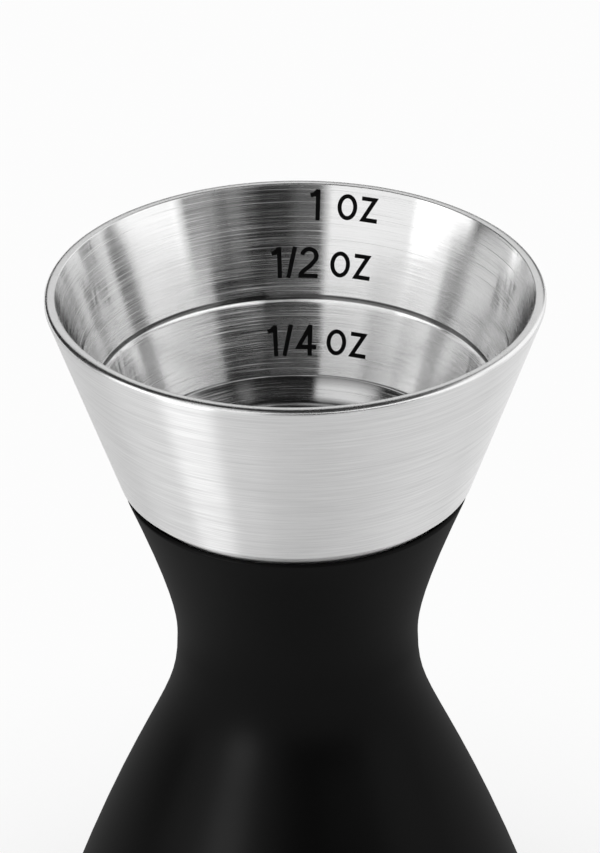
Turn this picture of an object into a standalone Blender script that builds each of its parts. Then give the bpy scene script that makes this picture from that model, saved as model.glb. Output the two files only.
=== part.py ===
"""A double-ended bar jigger: two drawn steel cups back to back on a plastic hub, with a soft grip
moulded round the waist.

Every piece is turned about the Z axis. The jigger stands on the rim of its larger cup, so the origin
is at the middle of that rim and +Z runs up through both cups. Sizes are in metres.
"""

import math

import bmesh
import bpy
import numpy
from mathutils import Vector

# Both steel cups
SHEET = 0.0010
CONE_SHEET = 0.00115
CONE_SLOPE = 0.3615
RIM_ROUND = 0.00045
RIM_INNER_ROUND = 0.0001
EDGE_ROUND = 0.0005
SHOULDER_SHEET = 0.00167
SHOULDER_PITCH = 0.9
SHOULDER_ROUND = 0.0006
FLOOR_ROUND = 0.0040
LINE_WIDTH = 0.0009
LINE_FLAT = 0.00045
LINE_DEPTH = 0.00018

# The one-ounce cup on top
UPPER_RIM_RADIUS = 0.02428
UPPER_DEPTH = 0.0326
UPPER_BAND = 0.01967
UPPER_LINE_DEPTH = 0.01075

# The ounce-and-a-half cup below
LOWER_RIM_RADIUS = 0.02813
LOWER_DEPTH = 0.0383
LOWER_BAND = 0.0134
LOWER_LINE_DEPTH = 0.0073

# The grip
FLOOR_GAP = 0.0091
WAIST_RADIUS = 0.0118
WAIST_ABOVE_LOWER_FLOOR = 0.0052
GRIP_WALL = 0.0013
GRIP_EDGE_ROUND = 0.00025
GRIP_UPPER_SLOPE = 0.417
GRIP_UPPER_PULL = 0.0135
WAIST_UPPER_PULL = 0.0021
WAIST_LOWER_PULL = 0.0085
GRIP_LOWER_PULL = 0.0237

# The tie between the cups
STUD_RADIUS = 0.0020
STUD_END_GAP = 0.0010
STUD_CHAMFER = 0.0004
BOSS_WALL = 0.0010
WELD_FLANGE_STEP = 0.0005
WELD_FLANGE_THICKNESS = 0.0010
HUB_WEB = 0.0012
HUB_LIP_ANGLE = math.radians(35)
SEAL_SECTION_RADIUS = 0.0007
SEAL_INSET = 0.0002

# Room left between pieces that touch
CLEARANCE = 0.0003

# How finely curves are cut into flats
TURN_STEPS = 48
INNER_TURN_STEPS = 32
CORNER_STEPS = 3
FLOOR_CORNER_STEPS = 5
UPPER_CURVE_STEPS = 9
LOWER_CURVE_STEPS = 12
SEAL_STEPS = 10
BORE_STEPS = 4
LOOKUP_STEPS = 200
SHARP_ANGLE = math.radians(35)
SAME_POINT = 0.000001

LOWER_FLOOR = LOWER_DEPTH + SHEET
UPPER_FLOOR = LOWER_FLOOR + FLOOR_GAP
OVERALL_HEIGHT = UPPER_FLOOR + SHEET + UPPER_DEPTH
WAIST_HEIGHT = LOWER_FLOOR + WAIST_ABOVE_LOWER_FLOOR
GRIP_INSET = GRIP_WALL + CLEARANCE


def clear_scene():
    for thing in list(bpy.data.objects):
        bpy.data.objects.remove(thing, do_unlink=True)


def finish(name, colour, roughness, metallic):
    material = bpy.data.materials.new(name)
    material.use_nodes = True
    shader = material.node_tree.nodes["Principled BSDF"]
    shader.inputs["Base Color"].default_value = (*colour, 1.0)
    shader.inputs["Roughness"].default_value = roughness
    shader.inputs["Metallic"].default_value = metallic
    return material


def rounded(corners):
    """A path of (radius, height) points, with an arc at each (radius, height, round, steps) corner."""
    path = []
    for index, (x, z, rounding, steps) in enumerate(corners):
        here = Vector((x, z))
        if rounding == 0.0:
            path.append((x, z))
            continue
        back = (Vector(corners[index - 1][:2]) - here).normalized()
        ahead = (Vector(corners[(index + 1) % len(corners)][:2]) - here).normalized()
        half = back.angle(ahead) / 2.0
        centre = here + (back + ahead).normalized() * (rounding / math.sin(half))
        first = here + back * (rounding / math.tan(half)) - centre
        last = here + ahead * (rounding / math.tan(half)) - centre
        start = math.atan2(first.y, first.x)
        sweep = math.remainder(math.atan2(last.y, last.x) - start, math.tau)
        for step in range(steps + 1):
            angle = start + sweep * step / steps
            path.append((centre.x + rounding * math.cos(angle), centre.y + rounding * math.sin(angle)))
    return path


def meet(first, second):
    """Where two lines cross, each given as (height at the axis, height gained per unit of radius)."""
    x = (second[0] - first[0]) / (first[1] - second[1])
    return x, first[0] + first[1] * x


def line_through(a, b):
    rise = (b[1] - a[1]) / (b[0] - a[0])
    return a[1] - rise * a[0], rise


def moved(line, distance):
    """The same line moved up square to itself."""
    return line[0] + distance * math.hypot(1.0, line[1]), line[1]


def bezier(points, steps):
    p = [numpy.array(point) for point in points]
    path = []
    for step in range(steps + 1):
        t = step / steps
        s = 1.0 - t
        path.append(tuple(s**3 * p[0] + 3 * s * s * t * p[1] + 3 * s * t * t * p[2] + t**3 * p[3]))
    return path


def turned(name, path, closed, steps, material):
    """Turn an outline in the XZ plane about the Z axis into one closed body."""
    shape = bmesh.new()
    points = [shape.verts.new((x, 0.0, z)) for x, z in path]
    edges = [shape.edges.new(pair) for pair in zip(points, points[1:])]
    if closed:
        edges.append(shape.edges.new((points[-1], points[0])))
    bmesh.ops.spin(shape, geom=points + edges, cent=(0, 0, 0), axis=(0, 0, 1), angle=math.tau,
                   steps=steps, use_merge=True)
    bmesh.ops.remove_doubles(shape, verts=shape.verts, dist=SAME_POINT)
    bmesh.ops.recalc_face_normals(shape, faces=shape.faces)
    if shape.calc_volume(signed=True) < 0.0:
        bmesh.ops.reverse_faces(shape, faces=shape.faces)
    mesh = bpy.data.meshes.new(name)
    shape.to_mesh(mesh)
    shape.free()
    mesh.shade_smooth()
    mesh.set_sharp_from_angle(angle=SHARP_ANGLE)
    mesh.materials.append(material)
    piece = bpy.data.objects.new(name, mesh)
    bpy.context.scene.collection.objects.link(piece)
    return piece


def grip_curve(upper_steps, lower_steps):
    """The grip's outside from its top edge to its bottom edge, flush with a steel cone at each end."""
    top = OVERALL_HEIGHT - UPPER_BAND - CLEARANCE
    bottom = LOWER_BAND + CLEARANCE
    top_radius = UPPER_RIM_RADIUS - CONE_SLOPE * (OVERALL_HEIGHT - top)
    bottom_radius = LOWER_RIM_RADIUS - CONE_SLOPE * bottom
    top_lean = Vector((-GRIP_UPPER_SLOPE, -1.0)).normalized() * GRIP_UPPER_PULL
    bottom_lean = Vector((-CONE_SLOPE, 1.0)).normalized() * GRIP_LOWER_PULL
    upper = bezier([(top_radius, top),
                    (top_radius + top_lean.x, top + top_lean.y),
                    (WAIST_RADIUS, WAIST_HEIGHT + WAIST_UPPER_PULL),
                    (WAIST_RADIUS, WAIST_HEIGHT)], upper_steps)
    lower = bezier([(WAIST_RADIUS, WAIST_HEIGHT),
                    (WAIST_RADIUS, WAIST_HEIGHT - WAIST_LOWER_PULL),
                    (bottom_radius + bottom_lean.x, bottom + bottom_lean.y),
                    (bottom_radius, bottom)], lower_steps)
    return upper + lower[1:]


def grip_radius(height):
    """How far out the grip's outside lies at a height."""
    curve = numpy.array(grip_curve(LOOKUP_STEPS, LOOKUP_STEPS))[::-1]
    return float(numpy.interp(height, curve[:, 1], curve[:, 0]))


def cup_lines(rim_radius, depth, band, height_at):
    """The straight lines of a cup's wall, outside first, in (radius, depth below the rim).

    A cup is a steel cone that shows, a shoulder that steps in by the grip's thickness, and a
    narrower cone under the grip that ends in a flat floor.
    """
    edge = (rim_radius - CONE_SLOPE * band, band)
    cone = line_through((rim_radius, 0.0), edge)
    shoulder = (edge[1] + SHOULDER_PITCH * edge[0], -SHOULDER_PITCH)
    well_top = (grip_radius(height_at(band + SHEET)) - GRIP_INSET, band + SHEET)
    well_foot = (grip_radius(height_at(depth + SHEET)) - GRIP_INSET, depth + SHEET)
    well = line_through(well_top, well_foot)
    floor = (depth + SHEET, 0.0)
    outside = {"cone": cone, "shoulder": shoulder, "well": well, "floor": floor}
    inside = {"cone": moved(cone, -CONE_SHEET), "shoulder": moved(shoulder, -SHOULDER_SHEET),
              "well": moved(well, -SHEET), "floor": moved(floor, -SHEET)}
    return outside, inside


def corner(lines, first, second, rounding, steps):
    return (*meet(lines[first], lines[second]), rounding, steps)


def fill_line(cone, depth):
    """A shallow groove pressed into the inside of the cone, as (radius, depth) corners."""
    half = LINE_WIDTH / 2.0
    flat = LINE_FLAT / 2.0
    corners = []
    for along, sunk in ((-half, 0.0), (-flat, LINE_DEPTH), (flat, LINE_DEPTH), (half, 0.0)):
        at = depth + along
        corners.append(((at - cone[0]) / cone[1] + sunk, at, 0.0, 0))
    return corners


def cup_faces(rim_radius, depth, band, line_depth, height_at):
    """The outer and the inner face of a cup, each from its rim to its middle."""
    outside, inside = cup_lines(rim_radius, depth, band, height_at)
    mouth_radius = meet(inside["cone"], (0.0, 0.0))[0]
    land_edge = rim_radius - RIM_ROUND * (CONE_SLOPE + math.hypot(1.0, CONE_SLOPE))
    land_middle = (mouth_radius + land_edge) / 2.0
    outer = [(land_middle, 0.0, 0.0, 0),
             (rim_radius, 0.0, RIM_ROUND, CORNER_STEPS),
             corner(outside, "cone", "shoulder", EDGE_ROUND, CORNER_STEPS),
             corner(outside, "shoulder", "well", SHOULDER_ROUND, CORNER_STEPS),
             corner(outside, "well", "floor", FLOOR_ROUND + SHEET, FLOOR_CORNER_STEPS),
             (0.0, outside["floor"][0], 0.0, 0)]
    inner = [(land_middle, 0.0, 0.0, 0),
             (mouth_radius, 0.0, RIM_INNER_ROUND, 1),
             *fill_line(inside["cone"], line_depth),
             corner(inside, "cone", "shoulder", SHOULDER_ROUND, CORNER_STEPS),
             corner(inside, "shoulder", "well", SHOULDER_ROUND + SHEET, CORNER_STEPS),
             corner(inside, "well", "floor", FLOOR_ROUND, FLOOR_CORNER_STEPS),
             (0.0, inside["floor"][0], 0.0, 0)]
    return rounded(outer), rounded(inner)[1:]


def upper_height(depth):
    return OVERALL_HEIGHT - depth


def lower_height(depth):
    return depth


UPPER = (UPPER_RIM_RADIUS, UPPER_DEPTH, UPPER_BAND)
LOWER = (LOWER_RIM_RADIUS, LOWER_DEPTH, LOWER_BAND)


def make_upper_cup(steel):
    outer, inner = cup_faces(*UPPER, UPPER_LINE_DEPTH, upper_height)
    path = [(x, upper_height(depth)) for x, depth in inner[::-1] + outer]
    return turned("upper_cup", path, False, TURN_STEPS, steel)


def make_lower_cup(steel):
    outer, inner = cup_faces(*LOWER, LOWER_LINE_DEPTH, lower_height)
    path = [(x, lower_height(depth)) for x, depth in outer[::-1] + inner]
    return turned("lower_cup", path, False, TURN_STEPS, steel)


def grip_seat(cup, height_at):
    """Two corners of the grip's inside along a cup: under the shoulder, and at the floor's level."""
    outside, _ = cup_lines(*cup, height_at)
    shoulder = (outside["shoulder"][0] + CLEARANCE, outside["shoulder"][1])
    well = moved(outside["well"], CLEARANCE)
    foot = meet(well, outside["floor"])
    return meet(shoulder, well), foot


def waist_bore():
    """The grip's inside across the hub: radius as a parabola in height through three points."""
    _, upper_foot = grip_seat(UPPER, upper_height)
    _, lower_foot = grip_seat(LOWER, lower_height)
    heights = [upper_height(upper_foot[1]), WAIST_HEIGHT, lower_height(lower_foot[1])]
    radii = [upper_foot[0], WAIST_RADIUS - GRIP_WALL, lower_foot[0]]
    return numpy.polyfit(heights, radii, 2)


def make_grip_sleeve(rubber):
    outside = grip_curve(UPPER_CURVE_STEPS, LOWER_CURVE_STEPS)
    upper_seat, upper_foot = grip_seat(UPPER, upper_height)
    lower_seat, lower_foot = grip_seat(LOWER, lower_height)
    bore = waist_bore()
    corners = [(x, z, 0.0, 0) for x, z in outside]
    corners[0] = (*outside[0], GRIP_EDGE_ROUND, CORNER_STEPS)
    corners[-1] = (*outside[-1], GRIP_EDGE_ROUND, CORNER_STEPS)
    corners.append((lower_seat[0], lower_height(lower_seat[1]), 0.0, 0))
    ends = (lower_height(lower_foot[1]), upper_height(upper_foot[1]))
    for height in numpy.linspace(*ends, BORE_STEPS + 1):
        corners.append((float(numpy.polyval(bore, height)), float(height), 0.0, 0))
    corners.append((upper_seat[0], upper_height(upper_seat[1]), 0.0, 0))
    return turned("grip_sleeve", rounded(corners), True, TURN_STEPS, rubber)


def floor_corner(cup, height_at):
    """The middle of the arc that rounds a cup's floor, as (radius, depth)."""
    outside, _ = cup_lines(*cup, height_at)
    arc_radius = FLOOR_ROUND + SHEET
    return meet(moved(outside["well"], -arc_radius), moved(outside["floor"], -arc_radius))


def seal_ring_radius(cup, height_at):
    """A seal lies on the flat of a cup's floor, just inside the rounded corner."""
    return floor_corner(cup, height_at)[0] - SEAL_SECTION_RADIUS - CLEARANCE - SEAL_INSET


def hub_face(cup, height_at, recess_radius, recess_depth):
    """One end of the hub, from its recess out to its lip, as (radius, depth below that cup's rim)."""
    face = cup[1] + SHEET + CLEARANCE
    centre = floor_corner(cup, height_at)
    dish = FLOOR_ROUND + SHEET + CLEARANCE
    groove_middle = seal_ring_radius(cup, height_at)
    groove_half = SEAL_SECTION_RADIUS + CLEARANCE
    groove_depth = 2.0 * SEAL_SECTION_RADIUS + CLEARANCE
    path = [(recess_radius, face + recess_depth),
            (recess_radius, face),
            (groove_middle - groove_half, face),
            (groove_middle - groove_half, face + groove_depth),
            (groove_middle + groove_half, face + groove_depth),
            (groove_middle + groove_half, face)]
    for step in range(FLOOR_CORNER_STEPS + 1):
        angle = HUB_LIP_ANGLE * step / FLOOR_CORNER_STEPS
        path.append((centre[0] + dish * math.sin(angle), centre[1] + dish * math.cos(angle)))
    outside, _ = cup_lines(*cup, height_at)
    lip_depth = path[-1][1]
    well = outside["well"]
    path.append(((lip_depth - well[0]) / well[1], lip_depth))
    return path


HUB_TOP = UPPER_FLOOR - CLEARANCE
HUB_BOTTOM = LOWER_FLOOR + CLEARANCE
WEB_TOP = HUB_TOP - WELD_FLANGE_THICKNESS - CLEARANCE
WEB_BOTTOM = WEB_TOP - HUB_WEB
BOSS_TOP = WEB_BOTTOM - CLEARANCE
BOSS_BORE_RADIUS = STUD_RADIUS + CLEARANCE
BOSS_RADIUS = BOSS_BORE_RADIUS + BOSS_WALL
FLANGE_RADIUS = BOSS_RADIUS + WELD_FLANGE_STEP


def make_waist_hub(plastic):
    """The hub carries both cups. Its web is clamped between the stud's flange and the boss."""
    recess_radius = FLANGE_RADIUS + CLEARANCE
    recess_depth = WELD_FLANGE_THICKNESS + CLEARANCE
    upper_face = hub_face(UPPER, upper_height, recess_radius, recess_depth)
    lower_face = hub_face(LOWER, lower_height, recess_radius, recess_depth)
    top = [(x, upper_height(depth)) for x, depth in upper_face]
    bottom = [(x, lower_height(depth)) for x, depth in lower_face]
    _, upper_foot = grip_seat(UPPER, upper_height)
    _, lower_foot = grip_seat(LOWER, lower_height)
    bore = waist_bore()
    side = []
    ends = (upper_height(upper_foot[1]), lower_height(lower_foot[1]))
    for height in numpy.linspace(*ends, BORE_STEPS + 1):
        side.append((float(numpy.polyval(bore, height)) - CLEARANCE, float(height)))
    boss_room = BOSS_RADIUS + CLEARANCE
    middle = [(boss_room, HUB_BOTTOM + recess_depth), (boss_room, WEB_BOTTOM),
              (BOSS_BORE_RADIUS, WEB_BOTTOM), (BOSS_BORE_RADIUS, WEB_TOP)]
    return turned("waist_hub", top + side + bottom[::-1] + middle, True, INNER_TURN_STEPS, plastic)


def make_cup_stud(steel):
    """A stud welded under the floor of the upper cup, with a flange to weld by."""
    foot = LOWER_FLOOR + STUD_END_GAP
    flange_foot = HUB_TOP - WELD_FLANGE_THICKNESS
    path = [(0.0, HUB_TOP), (FLANGE_RADIUS, HUB_TOP), (FLANGE_RADIUS, flange_foot),
            (STUD_RADIUS, flange_foot), (STUD_RADIUS, foot + STUD_CHAMFER),
            (STUD_RADIUS - STUD_CHAMFER, foot), (0.0, foot)]
    return turned("upper_cup_stud", path, False, INNER_TURN_STEPS, steel)


def make_cup_boss(steel):
    """A threaded boss welded to the floor of the lower cup, which the stud screws into."""
    flange_top = HUB_BOTTOM + WELD_FLANGE_THICKNESS
    path = [(BOSS_BORE_RADIUS, BOSS_TOP), (BOSS_RADIUS, BOSS_TOP), (BOSS_RADIUS, flange_top),
            (FLANGE_RADIUS, flange_top), (FLANGE_RADIUS, HUB_BOTTOM), (BOSS_BORE_RADIUS, HUB_BOTTOM)]
    return turned("lower_cup_boss", path, True, INNER_TURN_STEPS, steel)


def make_seal(name, ring_radius, height, rubber):
    path = []
    for step in range(SEAL_STEPS):
        angle = -math.tau * step / SEAL_STEPS
        path.append((ring_radius + SEAL_SECTION_RADIUS * math.cos(angle),
                     height + SEAL_SECTION_RADIUS * math.sin(angle)))
    return turned(name, path, True, INNER_TURN_STEPS, rubber)


def main():
    clear_scene()
    steel = finish("brushed_stainless", (0.60, 0.60, 0.61), 0.30, 1.0)
    fitting_steel = finish("fitting_stainless", (0.45, 0.45, 0.46), 0.40, 1.0)
    grip_rubber = finish("black_soft_grip", (0.010, 0.010, 0.011), 0.60, 0.0)
    hub_plastic = finish("black_hub_plastic", (0.030, 0.030, 0.032), 0.50, 0.0)
    seal_rubber = finish("grey_silicone", (0.25, 0.25, 0.26), 0.55, 0.0)
    make_upper_cup(steel)
    make_lower_cup(steel)
    make_grip_sleeve(grip_rubber)
    make_waist_hub(hub_plastic)
    make_cup_stud(fitting_steel)
    make_cup_boss(fitting_steel)
    upper_ring = seal_ring_radius(UPPER, upper_height)
    lower_ring = seal_ring_radius(LOWER, lower_height)
    make_seal("upper_seal", upper_ring, HUB_TOP - SEAL_SECTION_RADIUS, seal_rubber)
    make_seal("lower_seal", lower_ring, HUB_BOTTOM + SEAL_SECTION_RADIUS, seal_rubber)


main()
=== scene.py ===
# %% [markdown]
# A bar jigger is two small measuring cups back to back. Here the cups are brushed steel and the waist
# between them is a soft black grip. The packed model already holds every piece at its real size, so
# this lesson only gives the pieces their finish, writes the marks inside the cups, and lights the set.

# %% Load the jigger
import math

import bmesh
import bpy
from mathutils import Matrix, Vector


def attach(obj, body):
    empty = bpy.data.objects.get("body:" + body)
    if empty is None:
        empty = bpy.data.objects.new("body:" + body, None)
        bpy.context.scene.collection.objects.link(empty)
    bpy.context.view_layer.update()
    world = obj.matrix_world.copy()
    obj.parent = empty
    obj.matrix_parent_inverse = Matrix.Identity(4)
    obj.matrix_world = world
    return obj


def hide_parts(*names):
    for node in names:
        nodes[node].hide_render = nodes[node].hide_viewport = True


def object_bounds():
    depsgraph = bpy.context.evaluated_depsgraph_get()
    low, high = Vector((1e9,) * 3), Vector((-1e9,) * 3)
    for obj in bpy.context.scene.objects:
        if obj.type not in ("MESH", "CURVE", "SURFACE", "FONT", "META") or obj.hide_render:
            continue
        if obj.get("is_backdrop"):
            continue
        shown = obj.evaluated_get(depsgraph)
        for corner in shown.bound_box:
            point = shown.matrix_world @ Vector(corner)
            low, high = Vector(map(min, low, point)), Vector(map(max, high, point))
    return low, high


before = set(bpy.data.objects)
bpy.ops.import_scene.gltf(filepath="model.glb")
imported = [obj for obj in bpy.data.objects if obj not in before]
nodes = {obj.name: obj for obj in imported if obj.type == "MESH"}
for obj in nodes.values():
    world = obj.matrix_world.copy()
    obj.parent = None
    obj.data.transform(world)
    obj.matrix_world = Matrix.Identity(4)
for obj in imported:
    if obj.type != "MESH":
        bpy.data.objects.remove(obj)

cad_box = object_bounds()
print("pieces:", sorted(nodes))

# %% [markdown]
# A turned piece is one outline swept round an axis. The packed pieces were swept in a few dozen flats,
# which is plenty for a physics model and too coarse for a mirror-like metal. Subdividing them would
# round their crisp rims, so the outline is read back from the piece, where it crosses the plane y = 0,
# to be swept again in many more steps.

# %% Read the outlines
MILLIMETRE = 0.001
# How near to the plane a point counts as on it, and how near two points count as one.
ON_PLANE = 0.005 * MILLIMETRE
SAME_POINT = 0.001 * MILLIMETRE


def loose_ends(links):
    return [index for index, joined in links.items() if len(joined) == 1]


def join_flat_rings(links, at):
    """Link the two loose ends at one height: a flat ring has no edge of its own across it."""
    ends = sorted(loose_ends(links), key=lambda index: at[index][1])
    for first, second in zip(ends, ends[1:]):
        if abs(at[first][1] - at[second][1]) < SAME_POINT:
            links[first].append(second)
            links[second].append(first)


def outline_of(node):
    """The outline of a turned piece where it crosses y = 0, x >= 0: points in order, and if it closes."""
    shape = bmesh.new()
    shape.from_mesh(node.data)
    bmesh.ops.remove_doubles(shape, verts=shape.verts, dist=SAME_POINT)
    shape.verts.index_update()
    links = {}
    at = {}
    for edge in shape.edges:
        if all(abs(vertex.co.y) < ON_PLANE and vertex.co.x > -ON_PLANE for vertex in edge.verts):
            first, second = (vertex.index for vertex in edge.verts)
            links.setdefault(first, []).append(second)
            links.setdefault(second, []).append(first)
            at.update((vertex.index, (vertex.co.x, vertex.co.z)) for vertex in edge.verts)
    shape.free()
    join_flat_rings(links, at)
    ends = loose_ends(links)
    here = ends[0] if ends else min(links)
    path = []
    while here is not None:
        path.append(here)
        here = next((index for index in links[here] if index not in path), None)
    points = [at[index] for index in path]
    if ends:
        points = [(0.0, points[0][1])] + points + [(0.0, points[-1][1])]
    return points, not ends


upper_outline = outline_of(nodes["upper_cup"])
lower_outline = outline_of(nodes["lower_cup"])
grip_outline = outline_of(nodes["grip_sleeve"])
overall_height = max(z for x, z in upper_outline[0])
print("overall height in mm:", round(overall_height / MILLIMETRE, 2))

# %% [markdown]
# The new sweep gives the metal a smooth turn, and the shape stays the same. Smooth shading alone would
# also bend the light on the long straight walls, because a corner's normal is shared by the faces that
# meet there. So the normals are weighed by the size of those faces: the long walls stay straight and
# only the small rounds bend light.

# %% Turn an outline finely
FINE_STEPS = 240


def turned(name, outline, closes, finishes, choose):
    """Sweep an outline round the Z axis. choose gives each face's finish from its middle and normal."""
    shape = bmesh.new()
    row = [shape.verts.new((x, 0.0, z)) for x, z in outline]
    edges = [shape.edges.new(pair) for pair in zip(row, row[1:])]
    if closes:
        edges.append(shape.edges.new((row[-1], row[0])))
    bmesh.ops.spin(shape, geom=row + edges, cent=(0, 0, 0), axis=(0, 0, 1), angle=math.tau,
                   steps=FINE_STEPS, use_merge=True)
    bmesh.ops.remove_doubles(shape, verts=shape.verts, dist=SAME_POINT)
    bmesh.ops.recalc_face_normals(shape, faces=shape.faces)
    if shape.calc_volume(signed=True) < 0.0:
        bmesh.ops.reverse_faces(shape, faces=shape.faces)
    shape.normal_update()
    for face in shape.faces:
        face.smooth = True
        face.material_index = choose(face.calc_center_median(), face.normal)
    normals = [sum((face.normal * face.calc_area() for face in vertex.link_faces), Vector()).normalized()
               for vertex in shape.verts]
    mesh = bpy.data.meshes.new(name)
    shape.to_mesh(mesh)
    shape.free()
    mesh.normals_split_custom_set_from_vertices(normals)
    for finish in finishes:
        mesh.materials.append(finish)
    piece = bpy.data.objects.new(name, mesh)
    bpy.context.scene.collection.objects.link(piece)
    print(name, "has", len(mesh.polygons), "faces")
    return piece


print("steps in a turn:", FINE_STEPS)

# %% [markdown]
# The marks lie on a cup's inner cone, and the painted shade of the pressed line and the crease follows it
# too, so the outline is asked where they are.
# That run ends at the pressed line, and the last point that still lies on the cone is the crease at its
# foot.

# %% Measure the inner walls
# How deep the rim is, the shortest run that counts as a wall, and half the height of a pressed line.
RIM_BAND = 0.5 * MILLIMETRE
LONG_RUN = 3.0 * MILLIMETRE
LINE_HALF = 0.45 * MILLIMETRE


def inner_wall(outline, rim_height):
    """A cup's inner cone: the radius of its mouth, how much that shrinks with depth, and where its
    pressed line and the crease at its foot lie below the rim."""
    runs = []
    for run in zip(outline, outline[1:]):
        (near, near_radius), (far, far_radius) = sorted((abs(z - rim_height), x) for x, z in run)
        if near < RIM_BAND and far > LONG_RUN:
            slope = (near_radius - far_radius) / (far - near)
            runs.append((near_radius + slope * near, slope, far + LINE_HALF))
    mouth, slope, line = min(runs)
    depths = [abs(z - rim_height) for x, z in outline if
              abs(mouth - slope * abs(z - rim_height) - x) < ON_PLANE]
    return mouth, slope, line, max(depths)


upper_mouth, upper_slope, upper_line, upper_crease = inner_wall(upper_outline[0], overall_height)
lower_mouth, lower_slope, lower_line, lower_crease = inner_wall(lower_outline[0], 0.0)
for label, length in (("upper mouth radius", upper_mouth), ("lower mouth radius", lower_mouth),
                      ("upper line depth", upper_line), ("lower line depth", lower_line),
                      ("upper crease depth", upper_crease), ("lower crease depth", lower_crease)):
    print(label, "in mm:", round(length / MILLIMETRE, 2))

# %% [markdown]
# A material in Blender is a web of nodes. Laying each node and link by hand hides the idea, so one
# small class holds an output of a node and lets Python's own operators add the Math nodes: writing
# 1 - mask makes a Subtract node. Any other node comes from its add method.

# %% Write shader maths as Python
class Wire:
    """One output of a node, in the tree that it belongs to."""

    def __init__(self, tree, socket=None):
        self.tree = tree
        self.socket = socket

    def add(self, kind, settings=None, values=None, output=0):
        """A new node: its settings first, then the values or wires of its sockets."""
        node = self.tree.nodes.new(kind)
        for name, setting in (settings or {}).items():
            setattr(node, name, setting)
        for name, value in (values or {}).items():
            if isinstance(value, Wire):
                self.tree.links.new(value.socket, node.inputs[name])
            else:
                node.inputs[name].default_value = value
        return Wire(self.tree, node.outputs[output] if node.outputs else None)

    def math(self, operation, *values):
        return self.add("ShaderNodeMath", {"operation": operation}, dict(enumerate(values)))

    def __add__(self, other):
        return self.math("ADD", self, other)

    def __radd__(self, other):
        return self.math("ADD", other, self)

    def __sub__(self, other):
        return self.math("SUBTRACT", self, other)

    def __rsub__(self, other):
        return self.math("SUBTRACT", other, self)

    def __mul__(self, other):
        return self.math("MULTIPLY", self, other)

    def __rmul__(self, other):
        return self.math("MULTIPLY", other, self)

    def __truediv__(self, other):
        return self.math("DIVIDE", self, other)

    def __rtruediv__(self, other):
        return self.math("DIVIDE", other, self)

    def axes(self):
        """The X, Y and Z of a vector."""
        return [self.add("ShaderNodeSeparateXYZ", {}, {0: self}, output=axis) for axis in range(3)]

    def blend(self, low, high):
        """A colour between two others, by this value."""
        return self.add("ShaderNodeMix", {"data_type": "RGBA"}, {0: self, 6: low, 7: high}, output=2)

    def span(self, low, high):
        """This value, from 0 to 1, spread between two others."""
        return low + self * (high - low)

    def passes(self, place, edge):
        """0 below a place and 1 above it, with a soft edge."""
        return self.add("ShaderNodeMapRange", {"clamp": True}, {
            "Value": self, "From Min": place - edge, "From Max": place + edge})

    def within(self, start, end, edge):
        """1 inside a stretch and 0 outside it, with soft edges."""
        return self.passes(start, edge) - self.passes(end, edge)


print("reflected operators:", [name for name in vars(Wire) if name.startswith("__r")])

# %% [markdown]
# Every finish starts from an empty web and ends in one surface shader, so two helpers make the start
# and the end. A small trial shows what the class does with 1 - mask.

# %% Start and end a finish
def new_finish(name):
    """A material with an empty tree, and a wire to build it from."""
    material = bpy.data.materials.new(name)
    material.use_nodes = True
    material.node_tree.nodes.clear()
    return material, Wire(material.node_tree)


def coat(bench, values):
    """The surface shader and the output that it feeds."""
    surface = bench.add("ShaderNodeBsdfPrincipled", {}, values)
    bench.add("ShaderNodeOutputMaterial", {}, {"Surface": surface})


def grey(level):
    return (level, level, level, 1.0)


trial, bench = new_finish("trial")
mask = bench.add("ShaderNodeValue")
print("1 - mask makes a node for:", (1 - mask).socket.node.operation)
bpy.data.materials.remove(trial)

# %% [markdown]
# Brushed steel is steel that turned against an abrasive belt. The belt leaves fine scratches that run
# round the cup, so light smears up and down across them and the cup shows upright bands. Blender's
# anisotropic reflection does the smearing, and needs no drawn tangent here: left alone, it runs round
# the Z axis. The scratches themselves are a noise that is stretched round the axis and squeezed
# along the wall. It moves the roughness, the colour and the bump together, as real scratches do.
# Shade is painted into the tone in three places: the pressed line, all but its lower edge, the crease at
# the foot of the cone, and the lip between the shoulder and the well. The painted shade of the crease
# fades out on the shoulder below it.

# %% Make the brushed steel finishes
# Where shade is painted: on the pressed line, from the line's middle down, and on the lip, from the
# crease down.
LINE_SHADE_TOP = -0.42 * MILLIMETRE
LINE_SHADE_END = 0.10 * MILLIMETRE
LIP_SHADE_TOP = 1.75 * MILLIMETRE
LIP_SHADE_FOOT = 3.20 * MILLIMETRE
# How softly the painted shade ends, and how much of the tone it takes away.
SHADE_EDGE = 0.05 * MILLIMETRE
LIP_SHADE_FADE = 0.20 * MILLIMETRE
CREASE_SHADE_FADE = 0.45 * MILLIMETRE
PAINTED_SHADE = 0.75
# Kinds of stroke: how dense they are up the wall and round the cup, as a share of the fine strokes, and
# the levels of the noise where a stroke starts and is full.
BROAD_STROKES = (0.35, 0.6, 0.30, 0.70)
FINE_STROKES = (1.0, 1.0, 0.34, 0.66)
SCRATCHES = (1.3, 0.7, 0.54, 0.70)
BROAD_SHARE = 0.4
SCRATCH_SHARE = 0.65
QUARTER_TURN = 0.25


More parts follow.
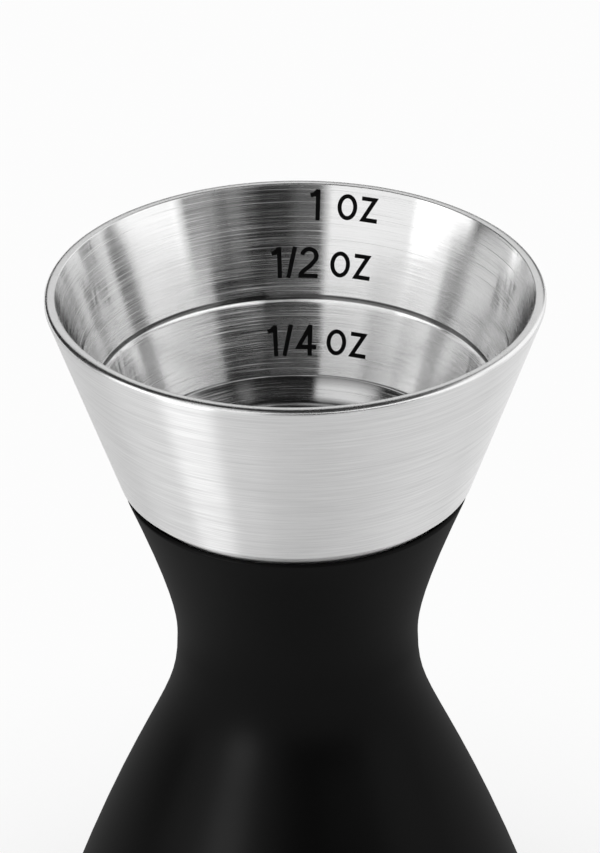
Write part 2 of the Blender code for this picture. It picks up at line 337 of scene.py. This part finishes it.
def brushed_steel(name, rise, line, crease, tones, smooth, rough, strokes_per_mm, strokes_round, depth):
    """Steel brushed round the axis. rise is +1 where the wall climbs outwards, and -1 where it falls."""
    material, bench = new_finish(name)
    x, y, z = bench.add("ShaderNodeTexCoord", output="Object").axes()
    radius = bench.math("SQRT", x * x + y * y) + SAME_POINT
    along = (radius + z * rise) / MILLIMETRE

    def strokes(up_share, round_share, low, high):
        """Stretched noise, from 0 between the strokes to 1 on them."""
        round_count = strokes_round * round_share
        where = bench.add("ShaderNodeCombineXYZ", {}, {
            0: x / radius * round_count, 1: y / radius * round_count,
            2: along * (strokes_per_mm * up_share)})
        noise = bench.add("ShaderNodeTexNoise", {}, {
            "Vector": where, "Scale": 1.0, "Detail": 2.0, "Roughness": 0.6})
        return bench.add("ShaderNodeMapRange", {"clamp": True}, {
            "Value": noise, "From Min": low, "From Max": high})

    brushed = strokes(*BROAD_STROKES) * BROAD_SHARE + strokes(*FINE_STROKES) * (1.0 - BROAD_SHARE)
    dulled = brushed * (1.0 - SCRATCH_SHARE) + strokes(*SCRATCHES) * SCRATCH_SHARE
    bump = bench.add("ShaderNodeBump", {}, {"Strength": 1.0, "Distance": depth, "Height": brushed})
    # Masks for the painted shade: in the pressed line, below the crease, and on the lip.
    line_shade = ((line - z) * rise).within(LINE_SHADE_TOP, LINE_SHADE_END, SHADE_EDGE)
    below_crease = (crease - z) * rise
    crease_shade = below_crease.passes(0.0, SHADE_EDGE) - below_crease.passes(CREASE_SHADE_FADE, CREASE_SHADE_FADE)
    lip_shade = below_crease.within(LIP_SHADE_TOP, LIP_SHADE_FOOT, LIP_SHADE_FADE)
    # The painted shade of the pressed line, the crease and the lip darkens the tone.
    tone = brushed.span(*tones) * (1 - (line_shade + crease_shade + lip_shade) * PAINTED_SHADE)
    coat(bench, {
        "Base Color": tone,
        "Roughness": dulled.span(smooth, rough),
        "Metallic": 1.0,
        "Anisotropic": 1.0,
        "Anisotropic Rotation": QUARTER_TURN,
        "Normal": bump})
    print(name, "strokes per mm:", strokes_per_mm)
    return material


inside_look = dict(tones=(0.74, 0.86), smooth=0.06, rough=0.36, strokes_per_mm=9.0, strokes_round=2.2,
                   depth=0.0008 * MILLIMETRE)
outside_look = dict(tones=(0.61, 0.79), smooth=0.28, rough=0.46, strokes_per_mm=6.5, strokes_round=3.0,
                    depth=0.0005 * MILLIMETRE)
# An outside has no line, crease or lip, so its painted shade goes to a height in metres well past the
# cup.
FAR_OFF = -1.0
upper_inside = brushed_steel("upper_inside_steel", 1.0, overall_height - upper_line,
                             overall_height - upper_crease, **inside_look)
upper_outside = brushed_steel("upper_outside_steel", 1.0, FAR_OFF, FAR_OFF, **outside_look)
lower_inside = brushed_steel("lower_inside_steel", -1.0, lower_line, lower_crease, **inside_look)
lower_outside = brushed_steel("lower_outside_steel", -1.0, -FAR_OFF, -FAR_OFF, **outside_look)

# %% [markdown]
# The rims are polished after brushing, so that they are smooth to drink or pour from. They keep only
# a faint unevenness, which a low, wide noise gives: a perfect mirror looks like plastic film.

# %% Make the polished rim and the plain fittings
UNEVEN_TONE = 0.06
UNEVEN_POLISH = 0.2


def turned_steel(name, tone, roughness, marks_per_mm, depth):
    """Polished or plainly turned steel, with a soft unevenness."""
    material, bench = new_finish(name)
    place = bench.add("ShaderNodeTexCoord", output="Object")
    cloud = bench.add("ShaderNodeTexNoise", {}, {
        "Vector": place, "Scale": marks_per_mm / MILLIMETRE, "Detail": 3.0, "Roughness": 0.55})
    bump = bench.add("ShaderNodeBump", {}, {"Strength": 1.0, "Distance": depth, "Height": cloud})
    coat(bench, {
        "Base Color": cloud.blend(grey(tone * (1.0 - UNEVEN_TONE)), grey(tone * (1.0 + UNEVEN_TONE))),
        "Roughness": cloud.span(roughness * (1.0 - UNEVEN_POLISH), roughness * (1.0 + UNEVEN_POLISH)),
        "Metallic": 1.0,
        "Normal": bump})
    return material


rim_steel = turned_steel("rim_steel", 0.78, 0.26, 0.8, 0.001 * MILLIMETRE)
fitting_steel = turned_steel("fitting_steel", 0.45, 0.35, 2.0, 0.004 * MILLIMETRE)
print("made:", rim_steel.name, "and", fitting_steel.name)

# %% [markdown]
# Each cup is swept again and takes three finishes: brushed inside, brushed outside and a polished
# rim. Which face takes which is told by where it is and which way it looks, so no face is picked
# by its number. Only the part of the rim that looks the way its cup opens is polished, and the
# brushing of the outside runs up to it.

# %% Turn the two cups
INSIDE, OUTSIDE, RIM = range(3)
# How upright a normal is, at least, on a level face and on a polished one.
LEVEL = 0.97
POLISHED = math.sin(math.radians(20.0))


def cup_face(rim_height, opens):
    """A chooser for a cup that opens up (+1) or down (-1)."""
    def choose(middle, normal):
        if abs(middle.z - rim_height) < RIM_BAND and normal.z * opens > POLISHED:
            return RIM
        outward = normal.x * middle.x + normal.y * middle.y
        faces_out = outward > 0.0 if abs(normal.z) < LEVEL else normal.z * opens < 0.0
        return OUTSIDE if faces_out else INSIDE
    return choose


upper_cup = turned("upper_cup_brushed", *upper_outline,
                   [upper_inside, upper_outside, rim_steel], cup_face(overall_height, 1.0))
lower_cup = turned("lower_cup_brushed", *lower_outline,
                   [lower_inside, lower_outside, rim_steel], cup_face(0.0, -1.0))
for piece, node in ((upper_cup, "upper_cup"), (lower_cup, "lower_cup")):
    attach(piece, "root")
    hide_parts(node)

# %% [markdown]
# The grip is a soft elastomer, moulded in a blasted mould that leaves a fine, even grain. It is nearly
# black, and its only light is a broad, weak gleam. A plain shader would gleam too much, so its own
# reflection is switched off and a thin, rough coat stands in for the skin of the rubber. The grain is a
# small noise in the bump and the roughness, and wide patches shift the tone a little.

# %% Make the soft grip
PATCHES_PER_MM = 0.12
PATCH_TONE = 0.2
GRAIN_SHARE = 0.6
GRAIN_ROUGHNESS = 0.08


def soft_rubber(name, tone, roughness, grain_mm, depth, skin):
    """Grained rubber. skin is the weight of its coat."""
    material, bench = new_finish(name)
    place = bench.add("ShaderNodeTexCoord", output="Object")
    grain = bench.add("ShaderNodeTexNoise", {}, {
        "Vector": place, "Scale": 1.0 / (grain_mm * MILLIMETRE), "Detail": 2.0, "Roughness": 0.6})
    patches = bench.add("ShaderNodeTexNoise", {}, {
        "Vector": place, "Scale": PATCHES_PER_MM / MILLIMETRE, "Detail": 2.0})
    mottle = grain * GRAIN_SHARE + patches * (1.0 - GRAIN_SHARE)
    bump = bench.add("ShaderNodeBump", {}, {"Strength": 1.0, "Distance": depth, "Height": grain})
    coat(bench, {
        "Base Color": patches.blend(grey(tone * (1.0 - PATCH_TONE)), grey(tone * (1.0 + PATCH_TONE))),
        "Roughness": mottle.span(roughness - GRAIN_ROUGHNESS, roughness + GRAIN_ROUGHNESS),
        "Specular IOR Level": 0.0,
        "Coat Weight": skin,
        "Coat Roughness": roughness,
        "Normal": bump})
    return material


def grip_face(middle, normal):
    """Every face of the grip takes its first and only finish."""
    return 0


grip_rubber = soft_rubber("grip_rubber", 0.002, 0.34, 0.20, 0.010 * MILLIMETRE, 0.15)
grip = turned("grip_skin", *grip_outline, [grip_rubber], grip_face)
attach(grip, "root")
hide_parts("grip_sleeve")

# %% [markdown]
# The pieces inside the waist can only be seen if the jigger is taken apart, and they still get a real
# finish: a moulded hub with a faint flow pattern, steel fittings and grey silicone rings.

# %% Finish the hidden pieces
FLOW_PER_MM = 0.4
FLOW_SWIRL = 1.5
FLOW_DEPTH = 0.01 * MILLIMETRE
FLOW_TONE = 0.2
FLOW_ROUGHNESS = 0.1


def moulded_plastic(name, tone, roughness, shine):
    """Plastic with the faint pattern of its flow into the mould."""
    material, bench = new_finish(name)
    place = bench.add("ShaderNodeTexCoord", output="Object")
    flow = bench.add("ShaderNodeTexNoise", {}, {
        "Vector": place, "Scale": FLOW_PER_MM / MILLIMETRE, "Detail": 4.0, "Distortion": FLOW_SWIRL})
    bump = bench.add("ShaderNodeBump", {}, {"Strength": 1.0, "Distance": FLOW_DEPTH, "Height": flow})
    coat(bench, {
        "Base Color": flow.blend(grey(tone * (1.0 - FLOW_TONE)), grey(tone * (1.0 + FLOW_TONE))),
        "Roughness": flow.span(roughness - FLOW_ROUGHNESS, roughness + FLOW_ROUGHNESS),
        "Specular IOR Level": shine,
        "Normal": bump})
    return material


def refinish(node, material):
    node.data.materials.clear()
    node.data.materials.append(material)


hub_plastic = moulded_plastic("hub_plastic", 0.030, 0.5, 0.4)
seal_silicone = soft_rubber("seal_silicone", 0.25, 0.55, 0.3, 0.01 * MILLIMETRE, 0.5)
for node, finish in (("waist_hub", hub_plastic), ("upper_cup_stud", fitting_steel),
                     ("lower_cup_boss", fitting_steel), ("upper_seal", seal_silicone),
                     ("lower_seal", seal_silicone)):
    refinish(nodes[node], finish)
    print(node, "takes", finish.name)

# %% [markdown]
# The marks printed inside each cup tell how many ounces it holds when it is filled to the brim, to the
# pressed line or to the crease. A texture could draw them, but then the exported mesh would lose them. A
# text object could write them, but only in the typeface that comes with Blender. So the letters are drawn
# as a sign painter draws them, as strokes of a flat pen. A stroke is a line of points with a width, and
# a pointed corner where it turns.

# %% Draw letters with a flat pen
def arc(centre, radius, start, end, steps=12):
    """Points on a circle, from one angle to another in degrees."""
    angles = [math.radians(start + (end - start) * step / steps) for step in range(steps + 1)]
    return [(centre[0] + radius * math.cos(angle), centre[1] + radius * math.sin(angle))
            for angle in angles]


def ring(centre, half_width, half_height, steps=36):
    angles = [math.tau * step / steps for step in range(steps)]
    return [(centre[0] + half_width * math.cos(angle), centre[1] + half_height * math.sin(angle))
            for angle in angles]


DIGIT_PEN = 0.14
UNIT_PEN = 0.165
SPACE = 0.55
# Each letter is its step to the next letter and its strokes, for a letter one unit tall.
DIGITS = {
    "1": (0.44, [[(0.24, 0.0), (0.24, 1.0)], [(0.0, 0.80), (0.12, 0.83), (0.23, 0.95)]]),
    "/": (0.39, [[(0.07, 0.0), (0.30, 1.0)]]),
    "2": (0.75, [arc((0.36, 0.705), 0.225, 172, -38) + [
        (0.40, 0.40), (0.20, 0.245), (0.10, 0.14), (0.085, DIGIT_PEN / 2), (0.64, DIGIT_PEN / 2)]]),
    "3": (0.72, [arc((0.31, 0.735), 0.195, 165, -90), arc((0.31, 0.295), 0.225, 90, -168)]),
    "4": (0.82, [[(0.51, 0.0), (0.51, 1.0)], [(0.51, 0.94), (0.14, 0.285), (0.72, 0.285)]])}
UNIT = {
    "o": (0.90, [ring((0.40, 0.5), 0.315, 0.435)]),
    "z": (0.80, [[(0.06, 0.917), (0.60, 0.917), (0.16, 0.083), (0.76, 0.083)]])}


def pen_sides(points, pen, closes):
    """The left and right edge of a stroke, with its corners pointed."""
    sides = []
    last = len(points) - 1
    for index, point in enumerate(points):
        before = points[index - 1] if index or closes else None
        after = points[(index + 1) % len(points)] if index < last or closes else None
        here = Vector(point)
        into = (here - Vector(before)).normalized() if before else None
        away = (Vector(after) - here).normalized() if after else None
        heading = ((into or away) + (away or into)).normalized()
        across = Vector((-heading.y, heading.x)) * (pen / 2.0) / heading.dot(into or away)
        sides.append((here + across, here - across))
    return sides


print("letters drawn:", "".join(DIGITS) + "".join(UNIT))

# %% [markdown]
# Printing bends the flat letters onto the cone: a letter's width becomes a turn round the cup and its
# height a climb up the wall. Each stroke is a closed solid a few hundredths of a millimetre thick, like a
# coat of ink. It could be a flat sheet, but a solid also holds together when the mesh is exported.

# %% Lay ink on a cone
INK_LIFT = 0.006 * MILLIMETRE
INK_THICKNESS = 0.020 * MILLIMETRE


def inked_stroke(shape, sides, closes, bend):
    """Add one stroke to a mesh as a closed solid. bend puts a flat point, with its lift, on the cone."""
    rows = [[shape.verts.new(bend(side, lift)) for lift in (0.0, 1.0) for side in pair] for pair in sides]
    for here, there in zip(rows, rows[1:] + rows[:1] if closes else rows[1:]):
        for first, second in ((0, 1), (1, 3), (3, 2), (2, 0)):
            shape.faces.new((here[first], here[second], there[second], there[first]))
    if not closes:
        for end in (rows[0], rows[-1]):
            shape.faces.new((end[0], end[1], end[3], end[2]))


def print_run(shape, words, letters, pen, start, foot, height, wall, place):
    """Print letters in a row from a start angle, with their feet at a depth below the rim."""
    mouth, slope = wall
    lean = math.atan(slope)
    middle = mouth - slope * (foot - height / 2.0)
    reach = 0.0
    for letter in words:
        step, strokes = letters.get(letter, (SPACE, []))
        for points in strokes:
            def bend(flat, lift, reach=reach):
                raised = INK_LIFT + INK_THICKNESS * lift
                depth = foot - flat.y * height * math.cos(lean)
                radius = mouth - slope * depth - raised * math.cos(lean)
                angle = math.radians(start) + (reach + flat.x) * height / middle
                return place(radius * math.sin(angle), radius * math.cos(angle),
                             depth - raised * math.sin(lean))
            closes = letter == "o"
            inked_stroke(shape, pen_sides(points, pen, closes), closes, bend)
        reach += step


print("ink in mm:", INK_THICKNESS / MILLIMETRE)

# %% [markdown]
# A mark is its digits and the unit, which is smaller and set a little higher. The upper cup is read from
# the front. The lower cup is read when the jigger is turned over, so its marks are turned half round the
# X axis.

# %% Print the marks inside the cups
DIGIT_HEIGHT = 3.1 * MILLIMETRE
UNIT_HEIGHT = 2.50 * MILLIMETRE
UNIT_RAISED = 0.25 * MILLIMETRE
mark_ink = moulded_plastic("mark_ink", 0.003, 0.6, 0.08)


def ounce_mark(name, digits, digits_start, unit_start, foot, wall, place):
    """One mark: digits in a heavier, taller letter, and the unit set a little higher."""
    shape = bmesh.new()
    print_run(shape, digits, DIGITS, DIGIT_PEN, digits_start, foot, DIGIT_HEIGHT, wall, place)
    print_run(shape, "oz", UNIT, UNIT_PEN, unit_start, foot - UNIT_RAISED, UNIT_HEIGHT, wall, place)
    bmesh.ops.recalc_face_normals(shape, faces=shape.faces)
    mesh = bpy.data.meshes.new(name)
    shape.to_mesh(mesh)
    shape.free()
    mesh.materials.append(mark_ink)
    piece = bpy.data.objects.new(name, mesh)
    bpy.context.scene.collection.objects.link(piece)
    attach(piece, "root")
    print(name, "has", len(mesh.polygons), "faces")


def in_upper_cup(x, y, depth):
    return (x, y, overall_height - depth)


def in_lower_cup(x, y, depth):
    return (x, -y, depth)


# A mark's name, its digits, the angles where digits and unit start, and its foot below the rim in mm.
UPPER_MARKS = (("one_ounce_mark", "1", 4.0, 10.9, 3.4),
               ("half_ounce_mark", "1/2", -6.4, 9.8, 8.8),
               ("quarter_ounce_mark", "1/4", -8.8, 9.9, 16.1))
LOWER_MARKS = (("ounce_and_half_mark", "1 1/2", -15.7, 3.3, 3.3),
               ("lower_ounce_mark", "1", -2.5, 3.4, 6.7),
               ("three_quarter_mark", "3/4", -13.2, 3.3, 10.9))
for marks, wall, place in ((UPPER_MARKS, (upper_mouth, upper_slope), in_upper_cup),
                           (LOWER_MARKS, (lower_mouth, lower_slope), in_lower_cup)):
    for name, digits, digits_start, unit_start, foot in marks:
        ounce_mark(name, digits, digits_start, unit_start, foot * MILLIMETRE, wall, place)

# %% [markdown]
# The floor is a plain pale sheet that looks white to the camera and in the steel. A sheet that only glows
# would show no shadow, and the jigger would float. So the glow gives way near the foot, where the jigger
# hides most of the room from the sheet, and there the light that really falls on the paper is seen.

# %% Lay the floor
FLOOR_RADIUS = 4.0
FLOOR_SIDES = 64
FLOOR_GLOW = 0.96
PAPER_TONE = 0.80
SHADOW_REACH = 0.05


def pale_floor():
    material, bench = new_finish("pale_floor")
    paper = bench.add("ShaderNodeBsdfDiffuse", {}, {"Color": grey(PAPER_TONE)})
    glow = bench.add("ShaderNodeEmission", {}, {"Color": grey(1.0), "Strength": 1.0})
    sight, shine, through = (bench.add("ShaderNodeLightPath", output=ray) for ray in
                             ("Is Camera Ray", "Is Glossy Ray", "Is Transmission Ray"))
    open_sky = bench.add("ShaderNodeAmbientOcclusion", {}, {"Distance": SHADOW_REACH}, output="AO")
    seen = (sight * open_sky + shine + through) * FLOOR_GLOW
    mixed = bench.add("ShaderNodeMixShader", {}, {0: seen, 1: paper, 2: glow})
    bench.add("ShaderNodeOutputMaterial", {}, {"Surface": mixed})
    return material


shape = bmesh.new()
bmesh.ops.create_circle(shape, cap_ends=True, segments=FLOOR_SIDES, radius=FLOOR_RADIUS)
floor_mesh = bpy.data.meshes.new("floor")
shape.to_mesh(floor_mesh)
shape.free()
floor_mesh.materials.append(pale_floor())
floor = bpy.data.objects.new("floor", floor_mesh)
bpy.context.scene.collection.objects.link(floor)
floor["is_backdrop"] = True
print("floor radius in m:", FLOOR_RADIUS)

# %% [markdown]
# Polished metal shows the room it stands in, so the room is the light. A product photographer sets tall
# soft panels round the table, with dark gaps between them, and the cup shows them as upright bands. Real
# panels could be modelled, but they would block the other views. The world can hold them instead: each
# panel is a stretch of the horizon between two angles, from one height above the table to another.

# %% Light the set
GAP_LEVEL = 0.02
PANEL_EDGE = 3.0
# Where a panel starts and ends, in degrees round from the front with the right side positive, then the
# height of its foot and its head in degrees, and its brightness.
PANELS = (("left_wing", -92, -61, -5, 42, 1.50),
          ("left_edge", -74, -60, -5, 20, 0.50),
          ("left_front", -61, -15, -5, 22, 1.05),
          ("left_middle", -61, -10, 22, 30, 0.70),
          ("left_high", -61, -3, 29, 43, 1.35),
          ("left_top", -80, -22, 52, 70, 0.80),
          ("front_slit", -13, 1, -5, 22, 0.08),
          ("front_strip", 25, 35, -5, 22, 0.14),
          ("right_front_low", 37, 58, -5, 22, 0.26),
          ("front_high", 19, 57, 22, 43, 1.35),
          ("front_top", -3, 19, 31, 42, 1.00),
          ("right_front", 56, 92, -5, 47, 1.25),
          ("right_gap", 92, 99, -5, 26, 0.55),
          ("right_link", 92, 99, 26, 50, 1.20),
          ("right_wing", 99, 150, -5, 53, 1.20),
          ("high_strip", 48, 60, 56, 72, 0.15),
          ("back_right", 150, 182, 20, 38, 1.00),
          ("back_left", -182, -150, 20, 38, 1.00))

world = bpy.data.worlds.new("studio")
world.use_nodes = True
world.node_tree.nodes.clear()
bench = Wire(world.node_tree)
gaze_x, gaze_y, gaze_z = bench.add("ShaderNodeTexCoord", output="Generated").axes()
turn = bench.math("ARCTAN2", gaze_x, 0.0 - gaze_y) * math.degrees(1.0)
climb = bench.math("ARCSINE", gaze_z) * math.degrees(1.0)
room = GAP_LEVEL
for panel, start, end, foot, head, level in PANELS:
    room = room + turn.within(start, end, PANEL_EDGE) * climb.within(foot, head, PANEL_EDGE) * level
    print(panel, "is", end - start, "degrees wide")
sight = bench.add("ShaderNodeLightPath", output="Is Camera Ray")
seen = bench.math("MAXIMUM", sight, room)
light = bench.add("ShaderNodeBackground", {}, {"Color": seen, "Strength": 1.0})
bench.add("ShaderNodeOutputWorld", {}, {"Surface": light})
bpy.context.scene.world = world
bpy.context.scene.view_settings.view_transform = "Standard"

# %% [markdown]
# Matte black shows almost nothing of the panels, so a small soft lamp stands low on the table at the
# front left. It puts one broad highlight on the flare of the grip. It stays below the rim, so the inside
# of the cup does not see it.

# %% Add a low lamp for the grip
LAMP_TURN = math.radians(-45.0)
LAMP_AWAY = 0.13
LAMP_HEIGHT = 0.056
LAMP_SIZE = (0.050, 0.036)
LAMP_WATTS = 0.033
LAMP_AIM = Vector((0.0, 0.0, 0.018))

lamp_data = bpy.data.lights.new("low_lamp", "AREA")
lamp_data.shape = "RECTANGLE"
lamp_data.size, lamp_data.size_y = LAMP_SIZE
lamp_data.energy = LAMP_WATTS
lamp = bpy.data.objects.new("low_lamp", lamp_data)
lamp.visible_camera = False
lamp.location = (LAMP_AWAY * math.sin(LAMP_TURN), -LAMP_AWAY * math.cos(LAMP_TURN), LAMP_HEIGHT)
lamp.rotation_euler = (lamp.location - LAMP_AIM).to_track_quat("Z", "Y").to_euler()
bpy.context.scene.collection.objects.link(lamp)
print("lamp to grip in mm:", round((lamp.location - LAMP_AIM).length / MILLIMETRE))

# %% [markdown]
# The camera stands well back with a long lens, so the rim keeps a calm ellipse. Its height, aim and
# slight tilt are the ones at which the model's rims and lines lie over those of the photograph. Its
# distance and aim are counted in rim radii, because a photograph tells proportions, not millimetres.

# %% Set the camera
FRAME_LONG_SIDE = 853
FOCAL_PIXELS = 7505
SENSOR = 36.0
NEAREST = 0.01
RIM_MEASURE = 24.2 * MILLIMETRE
VIEW_HEIGHT = math.radians(28.66)
VIEW_TILT = math.radians(-0.416)
VIEW_DISTANCE = 30.0 * RIM_MEASURE
AIM = Vector((0.0155 * RIM_MEASURE, 0.0, overall_height - 0.606 * RIM_MEASURE))

camera_data = bpy.data.cameras.new("camera")
camera_data.sensor_width = SENSOR
camera_data.lens = FOCAL_PIXELS / FRAME_LONG_SIDE * SENSOR
camera_data.clip_start = NEAREST
camera = bpy.data.objects.new("camera", camera_data)
bpy.context.scene.collection.objects.link(camera)
back = Vector((0.0, -math.cos(VIEW_HEIGHT), math.sin(VIEW_HEIGHT)))
right = Vector((1.0, 0.0, 0.0))
turn_to_view = Matrix((right, back.cross(right), back)).transposed()
camera.matrix_world = (Matrix.Translation(AIM + back * VIEW_DISTANCE) @ turn_to_view.to_4x4()
                       @ Matrix.Rotation(VIEW_TILT, 4, "Z"))
bpy.context.scene.camera = camera
print("lens in mm:", round(camera_data.lens, 1))

# %% [markdown]
# The last cell writes down the size of the packed model and of the dressed one, which should be the
# same, and hands the scene over.

# %% Print the sizes and finish
for label, box in (("packed", cad_box), ("dressed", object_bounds())):
    print(label, "size in mm:", [round((high - low) / MILLIMETRE, 2) for low, high in zip(*box)])
